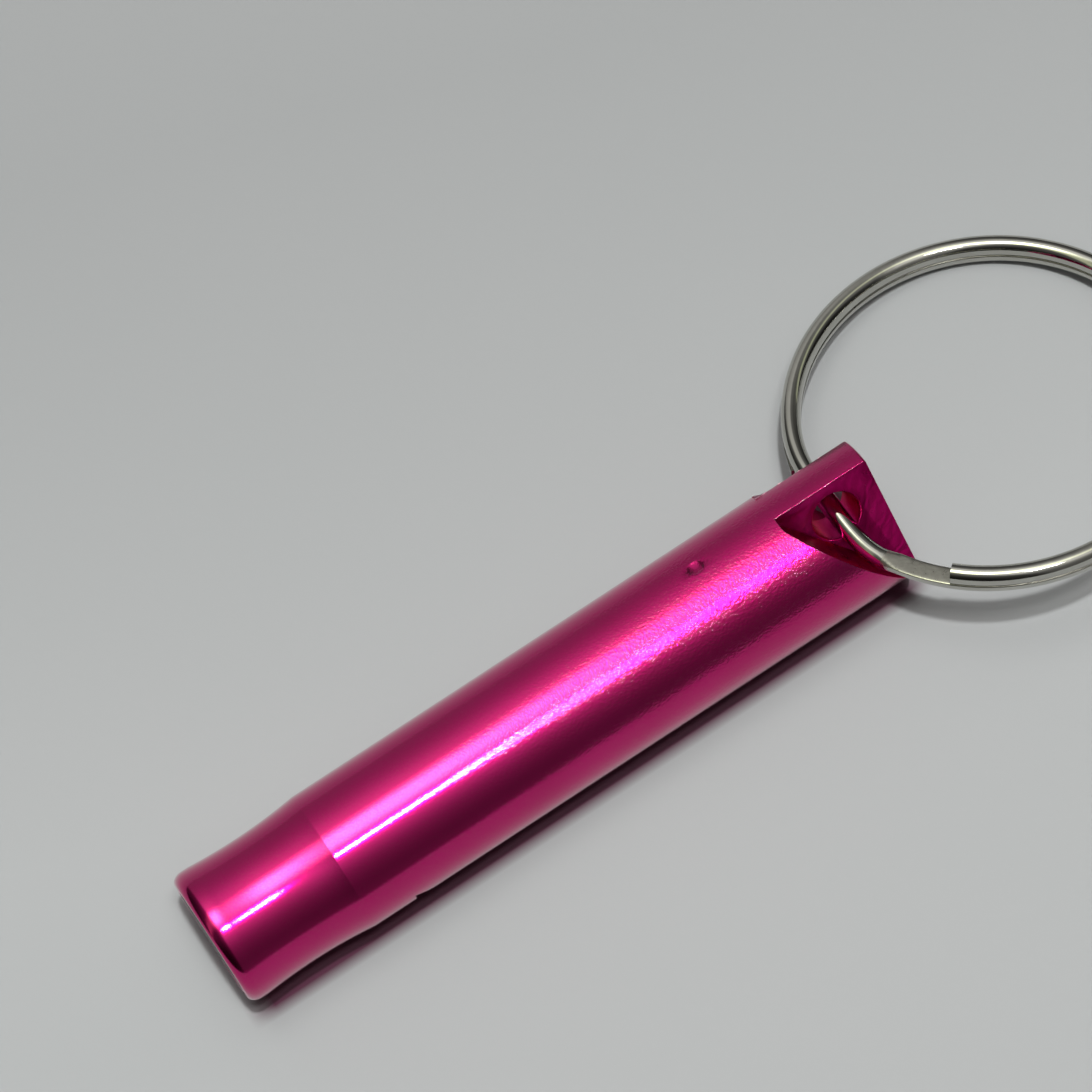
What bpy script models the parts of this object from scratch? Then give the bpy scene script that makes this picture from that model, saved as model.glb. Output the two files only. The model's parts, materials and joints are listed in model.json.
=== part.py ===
"""Training whistle: a turned aluminium tube with a pressed-in windway plug and a split ring.

The tube lies along +X on the ground plane, with its mouth end at x = 0 and its axis at z = 0.
"""

import math

import bpy
import bmesh
from mathutils import Euler, Matrix, Vector

MM = 0.001

# Tube
BODY_RADIUS = 4.5 * MM
BODY_LENGTH = 47.2 * MM
TAIL_CHAMFER = 0.12 * MM
LIP_RADIUS = 4.38 * MM
LIP_ROUND = 0.5 * MM           # how far the lip's rounding falls towards the axis
LIP_RUN = 0.72 * MM            # and how far it runs along the tube
LIP_LENGTH = 1.2 * MM
LIP_POINTS = 6
WAIST_RADIUS = 4.24 * MM
WAIST_AT = 4.4 * MM
WAIST_END = 8.5 * MM
WAIST_POINTS = 7
TURN_STEPS = 72
MERGE_WITHIN = 0.001 * MM

# Bore and windway
BORE_RADIUS = 3.5 * MM
BORE_DEPTH = 31.0 * MM
BORE_TIP = 2.0 * MM
WINDWAY_FLOOR = 2.65 * MM      # distance of the plug's flat, and of the window's root, from the axis
WINDOW_AT = 11.4 * MM
WINDOW_SLOPE = math.radians(28.7)
PLUG_GAP = 0.04 * MM
PLUG_CHAMFER = 0.25 * MM

# Tail tongue
TONGUE_HALF = 1.37 * MM
SHOULDER_AT = 43.57 * MM       # where the shoulder crosses the tube's centre line
SHOULDER_SLANT = math.radians(35.7)
SHOULDER_CORNER = 0.45 * MM
HOLE_AT = 44.2 * MM
HOLE_OFFSET = 2.0 * MM
HOLE_RADIUS = 1.55 * MM
HOLE_SIDES = 40

# Witness dimple
DIMPLE_AT = 35.4 * MM
DIMPLE_ANGLE = math.radians(74.5)
DIMPLE_BALL = 1.3 * MM
DIMPLE_RIM = 0.56 * MM
DIMPLE_DIVISIONS = 3

# How the tube lies: the tongue's near flat faces this far round from straight up, towards -Y
BODY_ROLL = math.radians(52.0)

# Split ring
RING_RADIUS = 11.95 * MM       # to the middle of the wire
WIRE_WIDTH = 1.2 * MM
WIRE_THICK = 0.86 * MM
WIRE_CORNER = 0.34 * MM
CORNER_POINTS = 3
COIL_PITCH = 0.92 * MM
RING_LEAD = 0.24 * MM          # the wire lies this much nearer the tail end than the hole's middle
RING_NIP = 0.41 * MM           # how far the ramp between the coils is bent in, and over what angle
NIP_SPREAD = math.radians(15.0)
RING_PITCH = math.radians(8.0)
RING_ROLL = math.radians(-13.9)
RING_YAW = math.radians(1.67)
RING_START = math.radians(44.0)
STEP_START = math.radians(345.0)
STEP_END = math.radians(384.0)
RING_END = math.radians(704.0)
RING_STATIONS = 150


def clear_scene():
    for obj in list(bpy.data.objects):
        bpy.data.objects.remove(obj, do_unlink=True)


def collection(name, hidden=False):
    made = bpy.data.collections.new(name)
    made.hide_render = hidden
    bpy.context.scene.collection.children.link(made)
    return made


def material(name, colour, metallic, roughness):
    made = bpy.data.materials.new(name)
    made.use_nodes = True
    shader = made.node_tree.nodes["Principled BSDF"]
    shader.inputs["Base Color"].default_value = (*colour, 1.0)
    shader.inputs["Metallic"].default_value = metallic
    shader.inputs["Roughness"].default_value = roughness
    made.diffuse_color = (*colour, 1.0)
    return made


def put(obj, into, parent=None, finish=None):
    into.objects.link(obj)
    obj.parent = parent
    if finish:
        obj.data.materials.append(finish)
    return obj


def empty(name, into, parent=None):
    return put(bpy.data.objects.new(name, None), into, parent)


def mesh_object(name, bm):
    bmesh.ops.recalc_face_normals(bm, faces=bm.faces)
    mesh = bpy.data.meshes.new(name)
    bm.to_mesh(mesh)
    bm.free()
    return bpy.data.objects.new(name, mesh)


def turned(name, profile):
    """A solid of revolution about X from (x, radius) points that start and end on the axis."""
    bm = bmesh.new()
    points = [bm.verts.new((x, 0.0, r)) for x, r in profile]
    for first, second in zip(points, points[1:]):
        bm.edges.new((first, second))
    mesh = bpy.data.meshes.new(name)
    bm.to_mesh(mesh)
    bm.free()
    obj = bpy.data.objects.new(name, mesh)
    screw = obj.modifiers.new("turn", "SCREW")
    screw.axis = "X"
    screw.steps = TURN_STEPS
    screw.render_steps = TURN_STEPS
    screw.use_merge_vertices = True
    screw.merge_threshold = MERGE_WITHIN
    screw.use_smooth_shade = False
    screw.use_normal_calculate = True
    return obj


def prism(name, outline, low, high, axes):
    """A solid with a flat outline, pushed from low to high along the third of the three axes."""
    across, up, along = (Vector(axis) for axis in axes)
    bm = bmesh.new()
    ring = [bm.verts.new(across * a + up * b + along * low) for a, b in outline]
    face = bm.faces.new(ring)
    pushed = bmesh.ops.extrude_face_region(bm, geom=[face])["geom"]
    moved = [item for item in pushed if isinstance(item, bmesh.types.BMVert)]
    bmesh.ops.translate(bm, vec=along * (high - low), verts=moved)
    return mesh_object(name, bm)


def cut(obj, cutter, cutters, parent):
    put(cutter, cutters, parent)
    cutter.hide_render = True
    cutter.display_type = "WIRE"
    boolean = obj.modifiers.new(cutter.name, "BOOLEAN")
    boolean.operation = "DIFFERENCE"
    boolean.solver = "EXACT"
    boolean.object = cutter


def arc(centre, radius, start, end, count):
    """Points (a, b) on an arc, by angles in degrees from the first axis."""
    angles = (math.radians(start + (end - start) * i / count) for i in range(count + 1))
    return [(centre[0] + radius * math.cos(t), centre[1] + radius * math.sin(t)) for t in angles]


def waist_radius(x):
    """The mouthpiece is a shallow hollow that ends at a crease in the full diameter."""
    if x < WAIST_AT:
        share = (WAIST_AT - x) / (WAIST_AT - LIP_LENGTH)
        return WAIST_RADIUS + (LIP_RADIUS - WAIST_RADIUS) * share**2
    share = (x - WAIST_AT) / (WAIST_END - WAIST_AT)
    return WAIST_RADIUS + (BODY_RADIUS - WAIST_RADIUS) * share**2


def body_profile():
    waist = [LIP_LENGTH + (WAIST_END - LIP_LENGTH) * i / WAIST_POINTS for i in range(WAIST_POINTS + 1)]
    quarter = arc((LIP_ROUND, LIP_RADIUS - LIP_ROUND), LIP_ROUND, 90, 180, LIP_POINTS)
    lip = [(x * LIP_RUN / LIP_ROUND, radius) for x, radius in quarter]
    outside = [
        (BODY_LENGTH, 0.0),
        (BODY_LENGTH, BODY_RADIUS - TAIL_CHAMFER),
        (BODY_LENGTH - TAIL_CHAMFER, BODY_RADIUS),
    ]
    outside += [(x, waist_radius(x)) for x in reversed(waist)]
    bore = [(0.0, BORE_RADIUS), (BORE_DEPTH, BORE_RADIUS), (BORE_DEPTH + BORE_TIP, 0.0)]
    return outside + lip + bore


def shoulder_cutter(name, side):
    """Takes the tail down to one flat of the tongue, up to the slanting shoulder."""
    reach = 2 * BODY_RADIUS
    run = math.tan(SHOULDER_SLANT)
    corner_y = math.sqrt(BODY_RADIUS**2 - TONGUE_HALF**2) - SHOULDER_CORNER
    corner_x = SHOULDER_AT - run * corner_y
    outline = [
        (corner_x, reach),
        (corner_x, corner_y),
        (SHOULDER_AT + run * reach, -reach),
        (BODY_LENGTH + reach, -reach),
        (BODY_LENGTH + reach, reach),
    ]
    low, high = sorted((side * TONGUE_HALF, side * reach))
    return prism(name, outline, low, high, ((1, 0, 0), (0, 1, 0), (0, 0, 1)))


def hole_cutter():
    bm = bmesh.new()
    place = Matrix.Translation((HOLE_AT, HOLE_OFFSET, 0.0))
    bmesh.ops.create_cone(
        bm, cap_ends=True, segments=HOLE_SIDES, radius1=HOLE_RADIUS, radius2=HOLE_RADIUS,
        depth=2 * BODY_RADIUS, matrix=place,
    )
    return mesh_object("hole_cutter", bm)


def window_cutter():
    """A notch with a square wall towards the mouth and a ramp that rises to the skin."""
    reach = 1.5 * BODY_RADIUS
    ramp = (reach - WINDWAY_FLOOR) / math.tan(WINDOW_SLOPE)
    outline = [(WINDOW_AT, WINDWAY_FLOOR), (WINDOW_AT + ramp, reach), (WINDOW_AT, reach)]
    axes = ((1, 0, 0), (0, -1, 0), (0, 0, 1))
    return prism("window_cutter", outline, -reach, reach, axes)


def dimple_cutter():
    bm = bmesh.new()
    outward = Vector((0.0, math.sin(DIMPLE_ANGLE), math.cos(DIMPLE_ANGLE)))
    stand_off = BODY_RADIUS + math.sqrt(DIMPLE_BALL**2 - DIMPLE_RIM**2)
    place = Matrix.Translation(Vector((DIMPLE_AT, 0, 0)) + outward * stand_off)
    bmesh.ops.create_icosphere(bm, subdivisions=DIMPLE_DIVISIONS, radius=DIMPLE_BALL, matrix=place)
    return mesh_object("dimple_cutter", bm)


def make_body(parts, cutters, roll, finish):
    body = put(turned("whistle_body", body_profile()), parts, roll, finish)
    cut(body, shoulder_cutter("near_shoulder_cutter", 1), cutters, roll)
    cut(body, shoulder_cutter("far_shoulder_cutter", -1), cutters, roll)
    cut(body, hole_cutter(), cutters, roll)
    cut(body, window_cutter(), cutters, roll)
    cut(body, dimple_cutter(), cutters, roll)


def make_plug(parts, cutters, roll, finish):
    radius = BORE_RADIUS - PLUG_GAP
    profile = [
        (WINDOW_AT, 0.0),
        (WINDOW_AT, radius),
        (PLUG_CHAMFER, radius),
        (0.0, radius - PLUG_CHAMFER),
        (0.0, 0.0),
    ]
    plug = put(turned("fipple_plug", profile), parts, roll, finish)
    reach = 2 * BORE_RADIUS
    outline = [(-reach, WINDWAY_FLOOR), (WINDOW_AT + reach, WINDWAY_FLOOR)]
    outline += [(WINDOW_AT + reach, reach), (-reach, reach)]
    axes = ((1, 0, 0), (0, -1, 0), (0, 0, 1))
    cut(plug, prism("windway_cutter", outline, -reach, reach, axes), cutters, roll)


def step_down(angle):
    """0 on the upper coil, 1 on the lower coil, and a gentle ramp between them, through the hole."""
    share = min(max((angle - STEP_START) / (STEP_END - STEP_START), 0.0), 1.0)
    return share * share * (3 - 2 * share)


def ring_point(angle):
    """The middle of the wire, from its place in the hole. Angle 0 is at the hole, upper coil first."""
    nip = RING_NIP * math.exp(-(((angle - math.tau) / NIP_SPREAD) ** 2))
    radius = RING_RADIUS - nip
    return (
        RING_RADIUS - RING_NIP - radius * math.cos(angle),
        -radius * math.sin(angle),
        COIL_PITCH * (step_down(math.tau) - step_down(angle)),
    )


def poly_curve(name, points, cyclic):
    curve = bpy.data.curves.new(name, "CURVE")
    curve.dimensions = "3D"
    spline = curve.splines.new("POLY")
    spline.points.add(len(points) - 1)
    for point, place in zip(spline.points, points):
        point.co = (*place, 1.0)
    spline.use_cyclic_u = cyclic
    return curve


def wire_section():
    wide = WIRE_WIDTH / 2 - WIRE_CORNER
    tall = WIRE_THICK / 2 - WIRE_CORNER
    corners = ((wide, tall, 0), (-wide, tall, 90), (-wide, -tall, 180), (wide, -tall, 270))
    outline = []
    for x, y, start in corners:
        outline += arc((x, y), WIRE_CORNER, start, start + 90, CORNER_POINTS)
    return [(x, y, 0.0) for x, y in reversed(outline)]


def make_ring(parts, cutters, hinge, finish):
    section = bpy.data.objects.new("wire_section", poly_curve("wire_section", wire_section(), True))
    put(section, cutters)
    section.hide_render = True
    turn = RING_END - RING_START
    angles = [RING_START + turn * i / RING_STATIONS for i in range(RING_STATIONS + 1)]
    curve = poly_curve("split_ring", [ring_point(angle) for angle in angles], False)
    curve.twist_mode = "Z_UP"
    curve.bevel_mode = "OBJECT"
    curve.bevel_object = section
    curve.use_fill_caps = True
    put(bpy.data.objects.new("split_ring", curve), parts, hinge, finish)


def main():
    clear_scene()
    parts = collection("training_whistle")
    cutters = collection("cutters", hidden=True)
    pink = material("anodised_pink", (0.72, 0.02, 0.28), 0.9, 0.3)
    moulded = material("plug_plastic", (0.05, 0.05, 0.055), 0.0, 0.5)
    nickel = material("nickel_steel", (0.66, 0.64, 0.6), 1.0, 0.2)

    roll = empty("tube_axis", parts)
    roll.rotation_euler = (BODY_ROLL, 0.0, 0.0)
    make_body(parts, cutters, roll, pink)
    make_plug(parts, cutters, roll, moulded)

    hinge = empty("ring_hinge", parts)
    in_hole = Vector((HOLE_AT + RING_LEAD, HOLE_OFFSET, 0.0))
    hinge.location = Euler((BODY_ROLL, 0.0, 0.0)).to_matrix() @ in_hole
    hinge.rotation_mode = "YXZ"
    hinge.rotation_euler = (RING_ROLL, RING_PITCH, RING_YAW)
    make_ring(parts, cutters, hinge, nickel)


main()
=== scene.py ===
"""Looks for the training whistle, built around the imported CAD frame."""

import json
import math

import bmesh
import bpy
from mathutils import Matrix, Vector, noise


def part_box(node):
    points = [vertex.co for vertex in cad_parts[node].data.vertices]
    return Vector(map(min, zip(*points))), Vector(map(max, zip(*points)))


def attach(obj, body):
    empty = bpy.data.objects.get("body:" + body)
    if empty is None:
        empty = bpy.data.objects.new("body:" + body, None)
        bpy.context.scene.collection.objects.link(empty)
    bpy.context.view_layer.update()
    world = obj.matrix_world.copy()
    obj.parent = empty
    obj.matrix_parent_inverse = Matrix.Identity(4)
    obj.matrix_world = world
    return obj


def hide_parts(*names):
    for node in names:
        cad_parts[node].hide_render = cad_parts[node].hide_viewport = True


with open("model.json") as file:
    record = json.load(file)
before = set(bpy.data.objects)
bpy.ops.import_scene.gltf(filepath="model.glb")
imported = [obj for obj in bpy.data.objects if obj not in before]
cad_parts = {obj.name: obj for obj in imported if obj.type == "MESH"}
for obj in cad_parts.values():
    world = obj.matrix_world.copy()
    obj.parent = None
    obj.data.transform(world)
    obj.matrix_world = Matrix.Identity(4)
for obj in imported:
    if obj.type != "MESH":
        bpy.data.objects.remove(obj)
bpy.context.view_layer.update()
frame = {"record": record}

MM = 0.001

# Places that the frame gives
HINGE = next(joint for joint in frame["record"]["behaviour"]["joints"] if joint["name"] == "ring_swing")
RING_PLACE = Vector(HINGE["pos_m"])
RING_LEAD = 0.24 * MM  # the wire lies this much nearer the tail end than the hole's middle
HOLE = RING_PLACE - Vector((RING_LEAD, 0.0, 0.0))
TUBE_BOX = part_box("whistle_body")
TUBE_LENGTH = TUBE_BOX[1][0]
TUBE_RADIUS = (TUBE_BOX[1][1] - TUBE_BOX[0][1]) / 2
PLUG_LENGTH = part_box("fipple_plug")[1][0]
FLOOR_Z = min(TUBE_BOX[0][2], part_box("split_ring")[0][2])
ROLL = math.atan2(HOLE.z, HOLE.y)
HOLE_OFFSET = math.hypot(HOLE.y, HOLE.z)
RING_ROLL = math.atan2(HINGE["axis"][2], math.hypot(HINGE["axis"][0], HINGE["axis"][1]))
RING_YAW = math.atan2(-HINGE["axis"][0], HINGE["axis"][1])
TUBE_FRAME = Matrix.Rotation(ROLL, 4, "X")

# Tube
TURN_STEPS = 240
WAIST_RINGS = 28
BARREL_RINGS = 48
LIP_POINTS = 18
EDGE_POINTS = 5
TAIL_POINTS = 6
LIP_RADIUS = 4.38 * MM
LIP_ROUND = 0.52 * MM
LIP_RUN = 0.74 * MM
LIP_LENGTH = 1.2 * MM
WAIST_RADIUS = 4.24 * MM
WAIST_AT = 4.4 * MM
WAIST_END = 8.5 * MM
TAIL_ROUND = 0.14 * MM
BORE_RADIUS = 3.5 * MM
BORE_LIP = 0.12 * MM
BORE_DEPTH = 31.0 * MM
DRILL_POINT = 2.0 * MM
WINDWAY_FLOOR = 2.65 * MM
WINDOW_SLOPE = math.radians(28.7)
WINDOW_RUN = 4.0 * MM
WINDOW_MARGIN = 0.1 * MM
TAIL_CUTS = 40.0 * MM
TONGUE_HALF = 1.37 * MM
SHOULDER_AT = 43.57 * MM
SHOULDER_SLANT = math.radians(35.7)
SHOULDER_CORNER = 0.45 * MM
SHOULDER_SIDE = 0.12 * MM
SHOULDER_NIB = 0.03 * MM
SHOULDER_BEND = 0.18 * MM
HOLE_RADIUS = 1.55 * MM
HOLE_EDGE = 0.14 * MM
HOLE_PROUD = 0.02 * MM
HOLE_STEPS = 96
DIMPLE_AT = 35.4 * MM
DIMPLE_ANGLE = math.radians(74.5)
DIMPLE_BALL = 1.5 * MM
DIMPLE_RIM = 0.56 * MM
TUBE_SHARP = math.radians(28)
MERGE_WITHIN = 0.0005 * MM
CREASE_WITHIN = 0.002 * MM

# Plug
PLUG_GAP = 0.04 * MM
PLUG_CORNER = 0.22 * MM

# Burr along the flats' long edges
BURR_POINTS = 90
BURR_SHORT = 0.15 * MM
BURR_GRAIN = 0.35 * MM
BURR_SUNK = 0.012 * MM
BURR_WANDER = 0.006 * MM
BURR_LEAST = 0.006 * MM
BURR_MORE = 0.034 * MM
BURR_CURL = 0.15 * MM
BURR_CURL_RUN = 0.5 * MM
BURR_SHARP = math.radians(80)

# Split ring
RING_RADIUS = 11.95 * MM
RING_PITCH = math.radians(8.0)
WIRE_WIDTH = 1.2 * MM
WIRE_THICK = 0.88 * MM
WIRE_SKIRT = 0.2 * MM
COIL_PITCH = 0.92 * MM
RING_NIP = 0.41 * MM
NIP_SPREAD = math.radians(15.0)
RING_START = math.radians(44.0)
STEP_START = math.radians(345.0)
STEP_END = math.radians(384.0)
RING_END = math.radians(704.0)
FLIP_START = math.radians(380.5)
FLIP_END = math.radians(389.0)
BARE_END = math.radians(405.0)
WORN_START = math.radians(358.0)
WORN_END = math.radians(368.5)
RING_STATIONS = 420
SECTION_POINTS = 36
SQUARE_CORNER = 0.3
WORN_CORNER = 1.2
DOME = 0.92
RING_SHARP = math.radians(35)
BARE_SLOPE = 0.35
# painted shade: the wire's flanks that face the other coil more steeply than this slope get the third,
# darkened finish
SEAM_SHADE_SLOPE = 0.05
BRIGHT, DULL, SHADED_SEAM = 0, 1, 2

# View
VIEW_TURN = math.radians(18.42)
VIEW_DOWN = math.radians(71.53)
VIEW_ROLL = math.radians(-15.48)
VIEW_DISTANCE = 0.3604
VIEW_AIM = Vector((29.84 * MM, 10.55 * MM, FLOOR_Z))
VIEW_LENS = 197.94
VIEW_SENSOR = 36.0
VIEW_NEAR = 0.001
VIEW_FAR = 20.0

# Colours
PINK = (0.60, 0.002, 0.168, 1.0)
PINK_DEEP = (0.52, 0.001, 0.135, 1.0)
MILLED_GLINT = (0.6, 0.03, 0.2, 1.0)
BURR_DYED = (0.55, 0.12, 0.28, 1.0)
BURR_BARE = (0.85, 0.66, 0.74, 1.0)
NICKEL_DEEP = (0.42, 0.415, 0.375, 1.0)
NICKEL_PALE = (0.58, 0.57, 0.525, 1.0)
DULL_DEEP = (0.27, 0.265, 0.225, 1.0)
DULL_PALE = (0.47, 0.46, 0.415, 1.0)
# painted shade on the wire's flanks at the seam between the coils
SEAM_SHADE_DEEP = (0.13, 0.125, 0.105, 1.0)
SEAM_SHADE_PALE = (0.24, 0.235, 0.205, 1.0)
PLUG_DEEP = (0.018, 0.018, 0.02, 1.0)
PLUG_PALE = (0.04, 0.04, 0.043, 1.0)
CARD_DEEP = (0.246, 0.257, 0.258, 1.0)
CARD_PALE = (0.261, 0.267, 0.268, 1.0)
# painted contact shadow under the tube, with the tube's pink bounce light painted into it
CONTACT_SHADOW_TINT = (0.065, 0.02, 0.038, 1.0)
BLACK = (0.0, 0.0, 0.0, 1.0)

# Where the finishes and the painted contact shadow start and end
SOFT_EDGE = 0.07 * MM
GRAIN_START = 15.0 * MM
GRAIN_FULL = 36.0 * MM
MILL_BEFORE_HOLE = 2.6 * MM
MILL_BEYOND_HOLE = 3.2 * MM
# painted contact shadow: full and gone at these distances aside from the tube's axis, and fading from this
# far inside the tube's ends to this far beyond them
CONTACT_FULL = 4.1 * MM
CONTACT_GONE = 4.9 * MM
CONTACT_INSIDE = 1.2 * MM
CONTACT_OUTSIDE = 0.6 * MM

# Light and floor
ROOM_WHITE = (1.0, 0.99, 0.97, 1.0)
LAMP_SHEEN = (1.0, 1.06, 0.72, 1.0)
LAMP_STRENGTH = 11.5
STRIP_STRENGTH = 105.0
KEY_STRENGTH = 2.8
KEY_SPREAD = math.radians(2.5)
KEY_TILT = (math.radians(5.0), math.radians(3.0), 0.0)
BACKDROP = (0.62, 0.63, 0.64, 1.0)
# painted light falloff: the card's colour is darkened along this way, from the first distance to the
# second, down to this share
FADE_WAY = (0.31, 0.95, 0.0)
FADE_START = 1.0 * MM
FADE_END = 43.0 * MM
FADE_LEVEL = 0.82
FLOOR_SIZE = 1.5
FLOOR_GAP = 0.005 * MM


# Shader helpers


def new_material(name):
    made = bpy.data.materials.new(name)
    made.use_nodes = True
    return made, made.node_tree, made.node_tree.nodes["Principled BSDF"]


def node(tree, kind, inputs=None, **settings):
    made = tree.nodes.new(kind)
    for key, value in settings.items():
        setattr(made, key, value)
    for key, value in (inputs or {}).items():
        if isinstance(value, bpy.types.NodeSocket):
            tree.links.new(value, made.inputs[key])
        else:
            made.inputs[key].default_value = value
    return made


def math_node(tree, operation, first, second=0.0, third=0.0):
    return node(tree, "ShaderNodeMath", {0: first, 1: second, 2: third}, operation=operation).outputs[0]


def mix_colour(tree, factor, first, second):
    made = node(tree, "ShaderNodeMix", data_type="RGBA")
    for index, value in ((0, factor), (6, first), (7, second)):
        if isinstance(value, bpy.types.NodeSocket):
            tree.links.new(value, made.inputs[index])
        else:
            made.inputs[index].default_value = value
    return made.outputs[2]


def ramp(tree, value, stops, interpolation="LINEAR"):
    made = node(tree, "ShaderNodeValToRGB", {0: value})
    made.color_ramp.interpolation = interpolation
    elements = made.color_ramp.elements
    while len(elements) < len(stops):
        elements.new(0.5)
    for element, (place, level) in zip(elements, stops):
        element.position = place
        element.color = (level, level, level, 1.0)
    return made.outputs[0]


def map_range(tree, value, low, high, at_low, at_high):
    inputs = {0: value, 1: low, 2: high, 3: at_low, 4: at_high}
    return node(tree, "ShaderNodeMapRange", inputs).outputs[0]


def object_coordinates(tree):
    return node(tree, "ShaderNodeTexCoord").outputs["Object"]


def tube_coordinates(tree):
    """Object coordinates turned so that Z is the near flat's normal and Y runs to the hole's side."""
    place = object_coordinates(tree)
    turned_back = node(tree, "ShaderNodeMapping", {"Vector": place, "Rotation": (-ROLL, 0.0, 0.0)})
    return turned_back.outputs[0]


def noise_texture(tree, vector, scale, detail=2.0, roughness=0.5):
    inputs = {"Vector": vector, "Scale": scale, "Detail": detail, "Roughness": roughness}
    return node(tree, "ShaderNodeTexNoise", inputs).outputs[0]


def stretched(tree, vector, scale):
    return node(tree, "ShaderNodeMapping", {"Vector": vector, "Scale": scale}).outputs[0]


def bump(tree, height, strength, distance, normal=None):
    inputs = {"Height": height, "Strength": strength, "Distance": distance}
    if normal is not None:
        inputs["Normal"] = normal
    return node(tree, "ShaderNodeBump", inputs).outputs[0]


def soft_edges(tree, radius):
    return node(tree, "ShaderNodeBevel", {"Radius": radius}, samples=6).outputs[0]


# Materials


def anodised_pink():
    """Dyed anodised aluminium: tinted metal under a clear skin, with a grain that grows to the tail."""
    made, tree, shader = new_material("anodised_pink")
    place = tube_coordinates(tree)
    along = node(tree, "ShaderNodeSeparateXYZ", {0: place}).outputs[0]
    to_tail = map_range(tree, along, GRAIN_START, GRAIN_FULL, 0.08, 1.0)
    mottle = noise_texture(tree, place, 260.0, 3.0)
    tree.links.new(mix_colour(tree, mottle, PINK_DEEP, PINK), shader.inputs["Base Color"])
    turning = noise_texture(tree, stretched(tree, place, (9000.0, 260.0, 260.0)), 1.0, 2.0)
    grain = noise_texture(tree, place, 6400.0, 1.0, 0.6)
    fleck = noise_texture(tree, place, 8600.0, 1.0)
    peel = noise_texture(tree, place, 2400.0, 2.0)
    rough = math_node(tree, "MULTIPLY_ADD", grain, 0.06, 0.11)
    tree.links.new(math_node(tree, "MULTIPLY_ADD", to_tail, 0.06, rough), shader.inputs["Roughness"])
    normal = soft_edges(tree, SOFT_EDGE)
    normal = bump(tree, turning, 0.10, 0.004 * MM, normal)
    normal = bump(tree, peel, math_node(tree, "MULTIPLY", to_tail, 0.5), 0.008 * MM, normal)
    normal = bump(tree, grain, to_tail, 0.016 * MM, normal)
    tree.links.new(normal, shader.inputs["Normal"])
    coat_normal = bump(tree, grain, to_tail, 0.014 * MM)
    coat_normal = bump(tree, fleck, to_tail, 0.036 * MM, coat_normal)
    tree.links.new(coat_normal, shader.inputs["Coat Normal"])
    shader.inputs["Metallic"].default_value = 1.0
    shader.inputs["Coat Weight"].default_value = 0.58
    shader.inputs["Coat Roughness"].default_value = 0.035
    shader.inputs["Coat IOR"].default_value = 1.5
    return made


def milled_pink():
    """The tongue's flats and the shoulders: the same dye over an end mill's curved marks."""
    made, tree, shader = new_material("milled_pink")
    place = tube_coordinates(tree)
    mill_centre = (HOLE.x - MILL_BEFORE_HOLE, HOLE_OFFSET + MILL_BEYOND_HOLE, 0.0)
    from_centre = {"Vector": place, "Location": [-value for value in mill_centre]}
    around = node(tree, "ShaderNodeMapping", from_centre).outputs[0]
    wander = noise_texture(tree, place, 900.0, 2.0)
    rings = node(
        tree, "ShaderNodeTexWave",
        {"Vector": around, "Scale": 480.0, "Distortion": 7.5, "Detail": 2.0, "Detail Scale": 1.6},
        wave_type="RINGS", rings_direction="Z",
    ).outputs[1]
    tree.links.new(
        mix_colour(tree, math_node(tree, "MULTIPLY", rings, wander), PINK, PINK_DEEP),
        shader.inputs["Base Color"],
    )
    tree.links.new(math_node(tree, "MULTIPLY_ADD", wander, 0.2, 0.2), shader.inputs["Roughness"])
    normal = soft_edges(tree, SOFT_EDGE)
    normal = bump(tree, rings, 0.4, 0.02 * MM, normal)
    normal = bump(tree, wander, 0.45, 0.025 * MM, normal)
    tree.links.new(normal, shader.inputs["Normal"])
    shader.inputs["Metallic"].default_value = 1.0
    shader.inputs["Specular Tint"].default_value = MILLED_GLINT
    shader.inputs["Coat Weight"].default_value = 0.15
    shader.inputs["Coat Roughness"].default_value = 0.2
    return made


def bright_burr():
    """Bare metal with a trace of the dye, where the mill tore the edge."""
    made, tree, shader = new_material("bright_burr")
    place = object_coordinates(tree)
    torn = noise_texture(tree, place, 2400.0, 2.0)
    tone = mix_colour(tree, torn, BURR_DYED, BURR_BARE)
    tree.links.new(tone, shader.inputs["Base Color"])
    tree.links.new(math_node(tree, "MULTIPLY_ADD", torn, 0.3, 0.15), shader.inputs["Roughness"])
    shader.inputs["Metallic"].default_value = 1.0
    return made


def nickel():
    """Bright plate, a little cloudy and uneven, with small pits."""
    made, tree, shader = new_material("bright_nickel")
    place = object_coordinates(tree)
    cloud = noise_texture(tree, place, 420.0, 3.0)
    pits = noise_texture(tree, place, 4200.0, 2.0)
    tone = mix_colour(tree, cloud, NICKEL_DEEP, NICKEL_PALE)
    tree.links.new(tone, shader.inputs["Base Color"])
    tree.links.new(math_node(tree, "MULTIPLY_ADD", cloud, 0.06, 0.03), shader.inputs["Roughness"])
    normal = bump(tree, cloud, 0.25, 0.05 * MM)
    tree.links.new(bump(tree, pits, 0.12, 0.006 * MM, normal), shader.inputs["Normal"])
    shader.inputs["Metallic"].default_value = 1.0
    return made


def dull_nickel():
    """The wire's cut ends, and its flat side where it shows: the polishing doesn't reach them."""
    made, tree, shader = new_material("dull_nickel")
    place = object_coordinates(tree)
    rub = noise_texture(tree, place, 2600.0, 4.0, 0.65)
    tone = mix_colour(tree, rub, DULL_DEEP, DULL_PALE)
    tree.links.new(tone, shader.inputs["Base Color"])
    tree.links.new(math_node(tree, "MULTIPLY_ADD", rub, 0.25, 0.18), shader.inputs["Roughness"])
    scuff = noise_texture(tree, stretched(tree, place, (900.0, 900.0, 4000.0)), 1.0, 3.0)
    normal = bump(tree, scuff, 0.5, 0.035 * MM)
    tree.links.new(bump(tree, rub, 0.5, 0.02 * MM, normal), shader.inputs["Normal"])
    shader.inputs["Metallic"].default_value = 1.0
    return made


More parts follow.
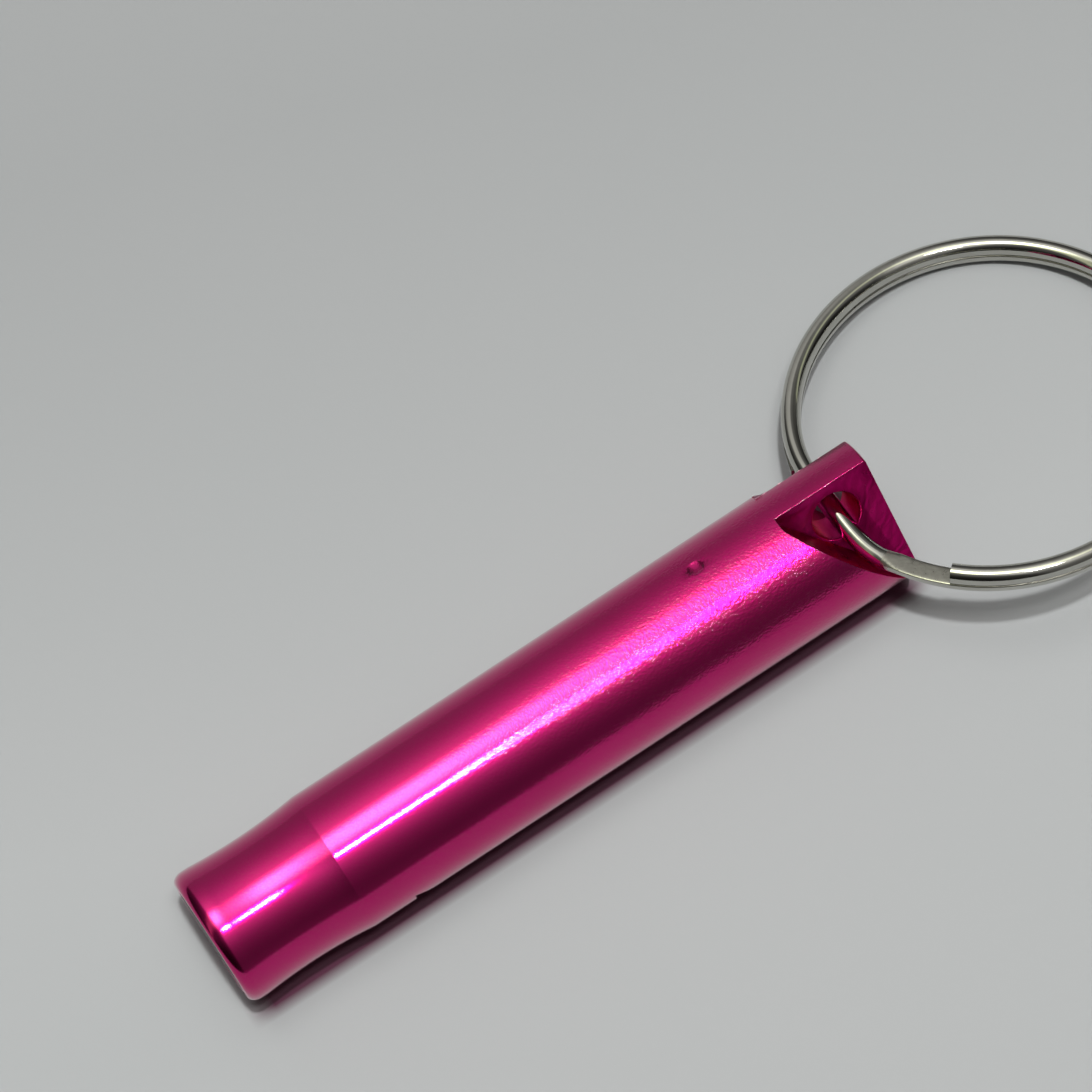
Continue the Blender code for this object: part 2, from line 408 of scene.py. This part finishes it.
def seam_shade_nickel():
    """The wire's flanks next to the seam between the coils, darkened with painted shade."""
    made, tree, shader = new_material("seam_shade_nickel")
    place = object_coordinates(tree)
    cloud = noise_texture(tree, place, 900.0, 3.0)
    tone = mix_colour(tree, cloud, SEAM_SHADE_DEEP, SEAM_SHADE_PALE)
    tree.links.new(tone, shader.inputs["Base Color"])
    tree.links.new(math_node(tree, "MULTIPLY_ADD", cloud, 0.2, 0.2), shader.inputs["Roughness"])
    shader.inputs["Metallic"].default_value = 1.0
    return made


def plug_plastic():
    """Moulded black plastic with a fine spark texture."""
    made, tree, shader = new_material("plug_plastic")
    place = object_coordinates(tree)
    spark = noise_texture(tree, place, 6500.0, 3.0, 0.6)
    tone = mix_colour(tree, spark, PLUG_DEEP, PLUG_PALE)
    tree.links.new(tone, shader.inputs["Base Color"])
    tree.links.new(math_node(tree, "MULTIPLY_ADD", spark, 0.25, 0.35), shader.inputs["Roughness"])
    normal = bump(tree, spark, 0.3, 0.01 * MM, soft_edges(tree, 0.05 * MM))
    tree.links.new(normal, shader.inputs["Normal"])
    return made


def paper():
    """Matt grey card with a painted light falloff that makes it a little darker away from the lamp, and a
    painted contact shadow under the tube, tinted with the tube's pink bounce light.
    """
    made, tree, shader = new_material("pale_paper")
    place = object_coordinates(tree)
    cloud = noise_texture(tree, place, 22.0, 3.0)
    fibre = noise_texture(tree, place, 1800.0, 4.0, 0.6)
    tone = mix_colour(tree, cloud, CARD_DEEP, CARD_PALE)
    # painted light falloff: the card darkens away from the lamp
    away = node(
        tree, "ShaderNodeVectorMath", {0: place, 1: FADE_WAY}, operation="DOT_PRODUCT"
    ).outputs["Value"]
    painted_falloff = map_range(tree, away, FADE_START, FADE_END, 1.0, FADE_LEVEL)
    tone = mix_colour(tree, painted_falloff, BLACK, tone)
    # painted contact shadow under the tube, tinted with the tube's pink bounce light
    place_x, place_y, _ = node(tree, "ShaderNodeSeparateXYZ", {0: place}).outputs
    aside = math_node(tree, "ABSOLUTE", place_y)
    beside = map_range(tree, aside, CONTACT_FULL, CONTACT_GONE, 1.0, 0.0)
    along = math_node(tree, "ABSOLUTE", place_x)
    half = TUBE_LENGTH / 2
    level = map_range(tree, along, half - CONTACT_INSIDE, half + CONTACT_OUTSIDE, 1.0, 0.0)
    under_tube_shadow = math_node(tree, "MULTIPLY", beside, level)
    tree.links.new(mix_colour(tree, under_tube_shadow, tone, CONTACT_SHADOW_TINT), shader.inputs["Base Color"])
    tree.links.new(bump(tree, fibre, 0.12, 0.05 * MM), shader.inputs["Normal"])
    shader.inputs["Roughness"].default_value = 0.7
    shader.inputs["Specular IOR Level"].default_value = 0.3
    return made


# Mesh helpers


def link(obj):
    bpy.context.scene.collection.objects.link(obj)
    return obj


def drop(obj):
    mesh = obj.data
    bpy.data.objects.remove(obj, do_unlink=True)
    bpy.data.meshes.remove(mesh)


def object_from(bm, name):
    bmesh.ops.recalc_face_normals(bm, faces=bm.faces)
    mesh = bpy.data.meshes.new(name)
    bm.to_mesh(mesh)
    bm.free()
    return link(bpy.data.objects.new(name, mesh))


def arc(centre, radius, start, end, count):
    angles = (math.radians(start + (end - start) * i / count) for i in range(count + 1))
    return [(centre[0] + radius * math.cos(t), centre[1] + radius * math.sin(t)) for t in angles]


def lathe(name, profile, steps=TURN_STEPS):
    """A closed solid turned about X from (x, radius) points that start and end on the axis."""
    bm = bmesh.new()
    ends = [bm.verts.new((profile[index][0], 0.0, 0.0)) for index in (0, -1)]
    rows = []
    for x, radius in profile[1:-1]:
        turn = (2 * math.pi * k / steps for k in range(steps))
        rows.append([bm.verts.new((x, radius * math.sin(t), radius * math.cos(t))) for t in turn])
    for first, second in zip(rows, rows[1:]):
        for k in range(steps):
            bm.faces.new((first[k - 1], first[k], second[k], second[k - 1]))
    for end, row in ((ends[0], rows[0]), (ends[1], rows[-1])):
        for k in range(steps):
            bm.faces.new((end, row[k - 1], row[k]))
    return object_from(bm, name)


def prism(name, outline, low, high, across, up, along):
    bm = bmesh.new()
    ring = [bm.verts.new(Vector(across) * a + Vector(up) * b + Vector(along) * low) for a, b in outline]
    pushed = bmesh.ops.extrude_face_region(bm, geom=[bm.faces.new(ring)])["geom"]
    moved = [item for item in pushed if isinstance(item, bmesh.types.BMVert)]
    bmesh.ops.translate(bm, vec=Vector(along) * (high - low), verts=moved)
    return object_from(bm, name)


def cut(obj, cutters):
    """Takes the cutters from the object for good."""
    for cutter in cutters:
        boolean = obj.modifiers.new(cutter.name, "BOOLEAN")
        boolean.operation = "DIFFERENCE"
        boolean.solver = "EXACT"
        boolean.object = cutter
    graph = bpy.context.evaluated_depsgraph_get()
    carved = bpy.data.meshes.new_from_object(obj.evaluated_get(graph), depsgraph=graph)
    obj.modifiers.clear()
    obj.data = carved
    for cutter in cutters:
        drop(cutter)


def shade(obj, sharp_over, crease_at=None):
    """Smooth faces, but sharp edges where the surface turns by more than the angle and at one crease."""
    bm = bmesh.new()
    bm.from_mesh(obj.data)
    bmesh.ops.remove_doubles(bm, verts=bm.verts, dist=MERGE_WITHIN)
    for face in bm.faces:
        face.smooth = True
    for edge in bm.edges:
        edge.smooth = len(edge.link_faces) == 2 and edge.calc_face_angle(0.0) < sharp_over
        if crease_at and all(abs(vert.co.x - crease_at) < CREASE_WITHIN for vert in edge.verts):
            edge.smooth = False
    bm.to_mesh(obj.data)
    bm.free()


# Tube and plug


def waist_radius(x):
    if x < WAIST_AT:
        share = (WAIST_AT - x) / (WAIST_AT - LIP_LENGTH)
        return WAIST_RADIUS + (LIP_RADIUS - WAIST_RADIUS) * share**2
    share = (x - WAIST_AT) / (WAIST_END - WAIST_AT)
    return WAIST_RADIUS + (TUBE_RADIUS - WAIST_RADIUS) * share**2


def tube_profile():
    waist_run = WAIST_END - LIP_LENGTH
    waist = [LIP_LENGTH + waist_run * i / WAIST_RINGS for i in range(WAIST_RINGS + 1)]
    length = TUBE_LENGTH - TAIL_ROUND - WAIST_END
    barrel = [WAIST_END + length * i / BARREL_RINGS for i in range(1, BARREL_RINGS)]
    tail = (TUBE_LENGTH - TAIL_ROUND, TUBE_RADIUS - TAIL_ROUND)
    mouth = (BORE_LIP, BORE_RADIUS + BORE_LIP)
    lip = arc((LIP_ROUND, LIP_RADIUS - LIP_ROUND), LIP_ROUND, 90, 180, LIP_POINTS)
    return (
        [(TUBE_LENGTH, 0.0)]
        + arc(tail, TAIL_ROUND, 0, 90, TAIL_POINTS)
        + [(x, TUBE_RADIUS) for x in reversed(barrel)]
        + [(x, waist_radius(x)) for x in reversed(waist)]
        + [(x * LIP_RUN / LIP_ROUND, radius) for x, radius in lip]
        + arc(mouth, BORE_LIP, 180, 270, EDGE_POINTS)
        + [(BORE_DEPTH, BORE_RADIUS), (BORE_DEPTH + DRILL_POINT, 0.0)]
    )


def shoulder_cutter(name, side):
    """Clears one side of the tongue up to a shoulder that slants back and turns square at its edge."""
    reach = 2 * TUBE_RADIUS
    run = math.tan(SHOULDER_SLANT)
    corner_y = math.sqrt(TUBE_RADIUS**2 - TONGUE_HALF**2) - SHOULDER_CORNER
    corner_x = SHOULDER_AT - run * corner_y
    outline = [
        (corner_x, reach),
        (corner_x, corner_y + SHOULDER_SIDE),
        (corner_x + SHOULDER_NIB, corner_y),
        (corner_x + SHOULDER_SIDE + run * (SHOULDER_BEND - SHOULDER_SIDE), corner_y - SHOULDER_BEND),
        (SHOULDER_AT + run * reach, -reach),
        (TUBE_LENGTH + reach, -reach),
        (TUBE_LENGTH + reach, reach),
    ]
    low, high = sorted((side * TONGUE_HALF, side * reach))
    return prism(name, outline, low, high, (1, 0, 0), (0, 1, 0), (0, 0, 1))


def hole_cutter():
    """The drilled hole with a small rounded edge at both flats."""
    rim = HOLE_RADIUS + HOLE_EDGE
    reach = 2 * TONGUE_HALF
    centre = (rim, TONGUE_HALF - HOLE_EDGE + HOLE_PROUD)
    upper = arc(centre, HOLE_EDGE, 180, 90, EDGE_POINTS) + [(rim, reach)]
    lower = [(radius, -height) for radius, height in reversed(upper)]
    outline = [(0.0, -reach)] + lower + upper + [(0.0, reach)]
    cutter = lathe("hole_cutter", [(height, radius) for radius, height in outline], HOLE_STEPS)
    cutter.data.transform(Matrix.Rotation(-math.pi / 2, 4, "Y"))
    cutter.data.transform(Matrix.Translation((HOLE.x, HOLE_OFFSET, 0.0)))
    return cutter


def window_cutter():
    reach = 1.5 * TUBE_RADIUS
    ramp_end = (reach - WINDWAY_FLOOR) / math.tan(WINDOW_SLOPE)
    outline = [(PLUG_LENGTH, WINDWAY_FLOOR), (PLUG_LENGTH + ramp_end, reach), (PLUG_LENGTH, reach)]
    return prism("window_cutter", outline, -reach, reach, (1, 0, 0), (0, -1, 0), (0, 0, 1))


def dimple_cutter():
    bm = bmesh.new()
    outward = Vector((0.0, math.sin(DIMPLE_ANGLE), math.cos(DIMPLE_ANGLE)))
    lift = math.sqrt(DIMPLE_BALL**2 - DIMPLE_RIM**2)
    centre = Vector((DIMPLE_AT, 0, 0)) + outward * (TUBE_RADIUS + lift)
    bmesh.ops.create_uvsphere(
        bm, u_segments=96, v_segments=64, radius=DIMPLE_BALL, matrix=Matrix.Translation(centre)
    )
    return object_from(bm, "dimple_cutter")


def is_milled(face):
    """True on the flats, the shoulders, the hole's wall and the window, all cut after the turning."""
    normal = face.normal
    centre = face.calc_center_median()
    depth = math.hypot(centre.y, centre.z)
    if centre.x > TAIL_CUTS:
        on_end = abs(normal.x) > 0.999
        on_skin = depth > 0.99 * TUBE_RADIUS
        return not (on_end or on_skin)
    in_window = PLUG_LENGTH - WINDOW_MARGIN < centre.x < PLUG_LENGTH + WINDOW_RUN
    return in_window and BORE_RADIUS * 0.99 < depth < 0.995 * TUBE_RADIUS and abs(normal.z) < 0.01


def make_tube(skin, milled):
    tube = lathe("tube", tube_profile())
    cutters = [shoulder_cutter("near_cutter", 1), shoulder_cutter("far_cutter", -1)]
    cut(tube, cutters + [hole_cutter(), window_cutter(), dimple_cutter()])
    tube.data.materials.clear()
    tube.data.materials.append(skin)
    tube.data.materials.append(milled)
    bm = bmesh.new()
    bm.from_mesh(tube.data)
    for face in bm.faces:
        face.material_index = 1 if is_milled(face) else 0
    bm.to_mesh(tube.data)
    bm.free()
    shade(tube, TUBE_SHARP, WAIST_END)
    tube.data.transform(TUBE_FRAME)
    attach(tube, "whistle")
    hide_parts("whistle_body")


def make_plug(finish):
    radius = BORE_RADIUS - PLUG_GAP
    front = arc((PLUG_CORNER, radius - PLUG_CORNER), PLUG_CORNER, 90, 180, EDGE_POINTS)
    plug = lathe("plug", [(PLUG_LENGTH, 0.0), (PLUG_LENGTH, radius)] + front + [(0.0, 0.0)])
    reach = 2 * BORE_RADIUS
    outline = [(-reach, WINDWAY_FLOOR), (PLUG_LENGTH + reach, WINDWAY_FLOOR)]
    outline += [(PLUG_LENGTH + reach, reach), (-reach, reach)]
    cut(plug, [prism("windway_cutter", outline, -reach, reach, (1, 0, 0), (0, -1, 0), (0, 0, 1))])
    plug.data.materials.clear()
    plug.data.materials.append(finish)
    shade(plug, TUBE_SHARP)
    plug.data.transform(TUBE_FRAME)
    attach(plug, "whistle")
    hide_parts("fipple_plug")


def thread(name, path, radii, sides=8):
    """A thin closed thread through the points, with its own radius at each."""
    bm = bmesh.new()
    rows = []
    for i, point in enumerate(path):
        ahead = (path[min(i + 1, len(path) - 1)] - path[max(i - 1, 0)]).normalized()
        side = ahead.orthogonal().normalized()
        lift = ahead.cross(side)
        turn = (2 * math.pi * k / sides for k in range(sides))
        around = [side * math.cos(t) + lift * math.sin(t) for t in turn]
        rows.append([bm.verts.new(point + way * radii[i]) for way in around])
    for first, second in zip(rows, rows[1:]):
        for k in range(sides):
            bm.faces.new((first[k - 1], first[k], second[k], second[k - 1]))
    bm.faces.new(rows[0])
    bm.faces.new(rows[-1])
    return object_from(bm, name)


def make_edge_burr(name, side, finish):
    """The ragged burr that the mill left along the flat's long edge."""
    edge_y = math.sqrt(TUBE_RADIUS**2 - TONGUE_HALF**2)
    start = SHOULDER_AT - math.tan(SHOULDER_SLANT) * (edge_y - SHOULDER_CORNER)
    length = TUBE_LENGTH - BURR_SHORT - start
    path = []
    radii = []
    for i in range(BURR_POINTS + 1):
        x = start + length * i / BURR_POINTS
        ragged = noise.noise(Vector((x / BURR_GRAIN, side * 7.0, 0.0)))
        path.append(Vector((x, edge_y - BURR_SUNK, side * (TONGUE_HALF + BURR_WANDER * ragged))))
        curl = BURR_CURL * math.exp(-(((x - start) / BURR_CURL_RUN) ** 2)) if side < 0 else 0.0
        radii.append(BURR_LEAST + BURR_MORE * max(ragged, 0.0) + curl)
    burr = thread(name, path, radii)
    burr.data.materials.append(finish)
    shade(burr, BURR_SHARP)
    burr.data.transform(TUBE_FRAME)
    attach(burr, "whistle")


# Split ring


def smooth_step(angle, start, end):
    share = min(max((angle - start) / (end - start), 0.0), 1.0)
    return share * share * (3 - 2 * share)


def wire_section(lower, corner=SQUARE_CORNER):
    """Points (outward, up) round the wire: domed outside, flat on the side that faces the other coil."""
    base = -WIRE_THICK / 2 + WIRE_SKIRT
    points = []
    for k in range(SECTION_POINTS):
        turn = 2 * math.pi * (k + 0.5) / SECTION_POINTS
        across, rise = math.cos(turn), math.sin(turn)
        if (rise < 0) != lower:
            out = math.copysign(abs(across) ** corner, across) * WIRE_WIDTH / 2
            up = base - WIRE_SKIRT * abs(rise) ** corner
        else:
            out = math.copysign(abs(across) ** DOME, across) * WIRE_WIDTH / 2
            up = base + (WIRE_THICK - WIRE_SKIRT) * abs(rise) ** DOME
        points.append((out, -up if lower else up))
    return points


def ring_frame():
    level = Matrix.Rotation(RING_YAW, 4, "Z") @ Matrix.Rotation(RING_ROLL, 4, "X")
    return Matrix.Translation(RING_PLACE) @ level @ Matrix.Rotation(RING_PITCH, 4, "Y")


def make_ring(finishes):
    """The two coils with the step that passes through the hole; its finishes are bright, dull and a painted
    shade on the flanks at the seam.
    """
    domed_up = wire_section(False)
    domed_down = wire_section(True)
    worn = wire_section(False, WORN_CORNER)
    in_hole = smooth_step(math.tau, STEP_START, STEP_END)
    bm = bmesh.new()
    rows = []
    for i in range(RING_STATIONS + 1):
        angle = RING_START + (RING_END - RING_START) * i / RING_STATIONS
        flipped = smooth_step(angle, FLIP_START, FLIP_END)
        height = COIL_PITCH * (in_hole - smooth_step(angle, STEP_START, STEP_END))
        middle = RING_RADIUS - RING_NIP * math.exp(-(((angle - math.tau) / NIP_SPREAD) ** 2))
        wear = smooth_step(angle, WORN_START, WORN_END) - smooth_step(angle, WORN_END, FLIP_START)
        row = []
        for (out_a, up_a), (out_b, up_b), (out_c, up_c) in zip(domed_up, domed_down, worn):
            radius = middle + out_a * (1 - flipped - wear) + out_b * flipped + out_c * wear
            rise = height + up_a * (1 - flipped - wear) + up_b * flipped + up_c * wear
            across = RING_RADIUS - RING_NIP - radius * math.cos(angle)
            row.append(bm.verts.new((across, -radius * math.sin(angle), rise)))
        if rows:
            for k in range(SECTION_POINTS):
                face = bm.faces.new((rows[-1][k - 1], rows[-1][k], row[k], row[k - 1]))
                slope = math.sin(2 * math.pi * k / SECTION_POINTS)
                facing_seam = slope if flipped > 0.5 else -slope
                bare = FLIP_START < angle < BARE_END
                # painted shade on the flanks that face the other coil, outside the bare stretch
                if facing_seam > (BARE_SLOPE if bare else SEAM_SHADE_SLOPE):
                    face.material_index = DULL if bare else SHADED_SEAM
        rows.append(row)
    for row in (rows[0], rows[-1]):
        bm.faces.new(row).material_index = DULL
    ring = object_from(bm, "ring")
    for place in (BRIGHT, DULL, SHADED_SEAM):
        ring.data.materials.append(finishes[place])
    shade(ring, RING_SHARP)
    ring.data.transform(ring_frame())
    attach(ring, "ring")
    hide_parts("split_ring")


# Stage


def make_floor(finish):
    bm = bmesh.new()
    bmesh.ops.create_grid(bm, x_segments=2, y_segments=2, size=FLOOR_SIZE)
    floor = object_from(bm, "floor")
    floor.data.materials.append(finish)
    floor.location = (TUBE_LENGTH / 2, 0.0, FLOOR_Z - FLOOR_GAP)


def make_world():
    """A room that dims to the near side, a long lamp overhead, a thin bright strip and a plain backdrop."""
    world = bpy.data.worlds.new("studio")
    bpy.context.scene.world = world
    world.use_nodes = True
    tree = world.node_tree
    tree.nodes.clear()
    direction = node(tree, "ShaderNodeTexCoord").outputs["Generated"]
    x, y, z = node(tree, "ShaderNodeSeparateXYZ", {0: direction}).outputs
    around = math_node(tree, "DIVIDE", math_node(tree, "ARCTAN2", z, y), math.pi)
    room = ramp(tree, around, [
        (0.0, 0.30), (0.11, 0.37), (0.185, 0.46), (0.254, 0.66), (0.32, 0.95), (0.37, 1.0),
        (0.50, 1.0), (0.56, 1.0), (0.605, 0.95), (0.65, 0.66), (0.71, 0.34), (0.77, 0.215),
        (0.83, 0.155), (0.90, 0.115), (0.96, 0.15),
    ], "B_SPLINE")
    off_side = math_node(tree, "ABSOLUTE", math_node(tree, "SUBTRACT", x, 0.08))
    near = ramp(tree, off_side, [(0.0, 1.0), (0.2, 0.95), (0.38, 0.24), (0.7, 0.10)], "EASE")
    room = math_node(tree, "MULTIPLY", room, near)
    lamp_across = ramp(tree, around, [
        (0.345, 0.0), (0.37, 0.20), (0.395, 0.66), (0.42, 1.0), (0.445, 1.08), (0.475, 0.85),
        (0.50, 0.50), (0.518, 0.16), (0.535, 0.02), (0.55, 0.0),
    ], "B_SPLINE")
    lamp_along = ramp(tree, math_node(tree, "ADD", x, 0.5), [
        (0.0, 0.03), (0.25, 0.12), (0.40, 0.55), (0.49, 0.9), (0.535, 1.0), (0.57, 0.74),
        (0.615, 0.22), (0.70, 0.12), (0.85, 0.07), (1.0, 0.03),
    ], "B_SPLINE")
    lamp = math_node(tree, "MULTIPLY", lamp_across, lamp_along)
    lamp = math_node(tree, "MULTIPLY", lamp, LAMP_STRENGTH)
    strip_across = ramp(tree, around, [(0.547, 0.0), (0.552, 1.0), (0.570, 1.0), (0.575, 0.0)])
    strip_along = ramp(
        tree, math_node(tree, "ADD", x, 0.5),
        [(0.50, 0.0), (0.535, 1.0), (0.60, 1.0), (0.64, 0.6), (0.69, 0.0)],
    )
    strip = math_node(tree, "MULTIPLY", strip_across, strip_along)
    strip = math_node(tree, "MULTIPLY", strip, STRIP_STRENGTH)
    soft = node(
        tree, "ShaderNodeBackground",
        {"Color": ROOM_WHITE, "Strength": math_node(tree, "ADD", room, strip)},
    )
    warm = node(tree, "ShaderNodeBackground", {"Color": ROOM_WHITE, "Strength": lamp})
    glossy = node(tree, "ShaderNodeLightPath").outputs["Is Glossy Ray"]
    tree.links.new(mix_colour(tree, glossy, ROOM_WHITE, LAMP_SHEEN), warm.inputs["Color"])
    light = node(tree, "ShaderNodeAddShader", {0: soft.outputs[0], 1: warm.outputs[0]})
    backdrop = node(tree, "ShaderNodeBackground", {"Color": BACKDROP, "Strength": 1.0})
    seen = node(tree, "ShaderNodeLightPath").outputs["Is Camera Ray"]
    mixed = node(tree, "ShaderNodeMixShader", {0: seen, 1: light.outputs[0], 2: backdrop.outputs[0]})
    out = node(tree, "ShaderNodeOutputWorld")
    tree.links.new(mixed.outputs[0], out.inputs[0])


def make_key():
    """A small lamp overhead that gives the shadows their firm edge."""
    lamp = bpy.data.lights.new("key", "SUN")
    lamp.energy = KEY_STRENGTH
    lamp.angle = KEY_SPREAD
    key = link(bpy.data.objects.new("key", lamp))
    key.rotation_euler = KEY_TILT
    key.visible_glossy = False


def make_camera():
    """The camera, placed by its turn about Z, its tilt down and its roll."""
    level = math.cos(VIEW_DOWN)
    ahead = Vector((math.sin(VIEW_TURN) * level, math.cos(VIEW_TURN) * level, -math.sin(VIEW_DOWN)))
    side = ahead.cross(Vector((0, 0, 1))).normalized()
    lift = side.cross(ahead)
    right = side * math.cos(VIEW_ROLL) + lift * math.sin(VIEW_ROLL)
    up = right.cross(ahead)
    place = VIEW_AIM - ahead * VIEW_DISTANCE
    camera = link(bpy.data.objects.new("camera", bpy.data.cameras.new("camera")))
    camera.matrix_world = Matrix((
        (right.x, up.x, -ahead.x, place.x),
        (right.y, up.y, -ahead.y, place.y),
        (right.z, up.z, -ahead.z, place.z),
        (0, 0, 0, 1),
    ))
    camera.data.lens = VIEW_LENS
    camera.data.sensor_width = VIEW_SENSOR
    camera.data.clip_start = VIEW_NEAR
    camera.data.clip_end = VIEW_FAR
    bpy.context.scene.camera = camera


def main():
    skin = anodised_pink()
    milled = milled_pink()
    make_tube(skin, milled)
    make_plug(plug_plastic())
    torn = bright_burr()
    make_edge_burr("near_edge_burr", 1, torn)
    make_edge_burr("far_edge_burr", -1, torn)
    make_ring((nickel(), dull_nickel(), seam_shade_nickel()))
    make_floor(paper())
    make_world()
    make_key()
    make_camera()
    bpy.context.scene.view_settings.view_transform = "Standard"


main()
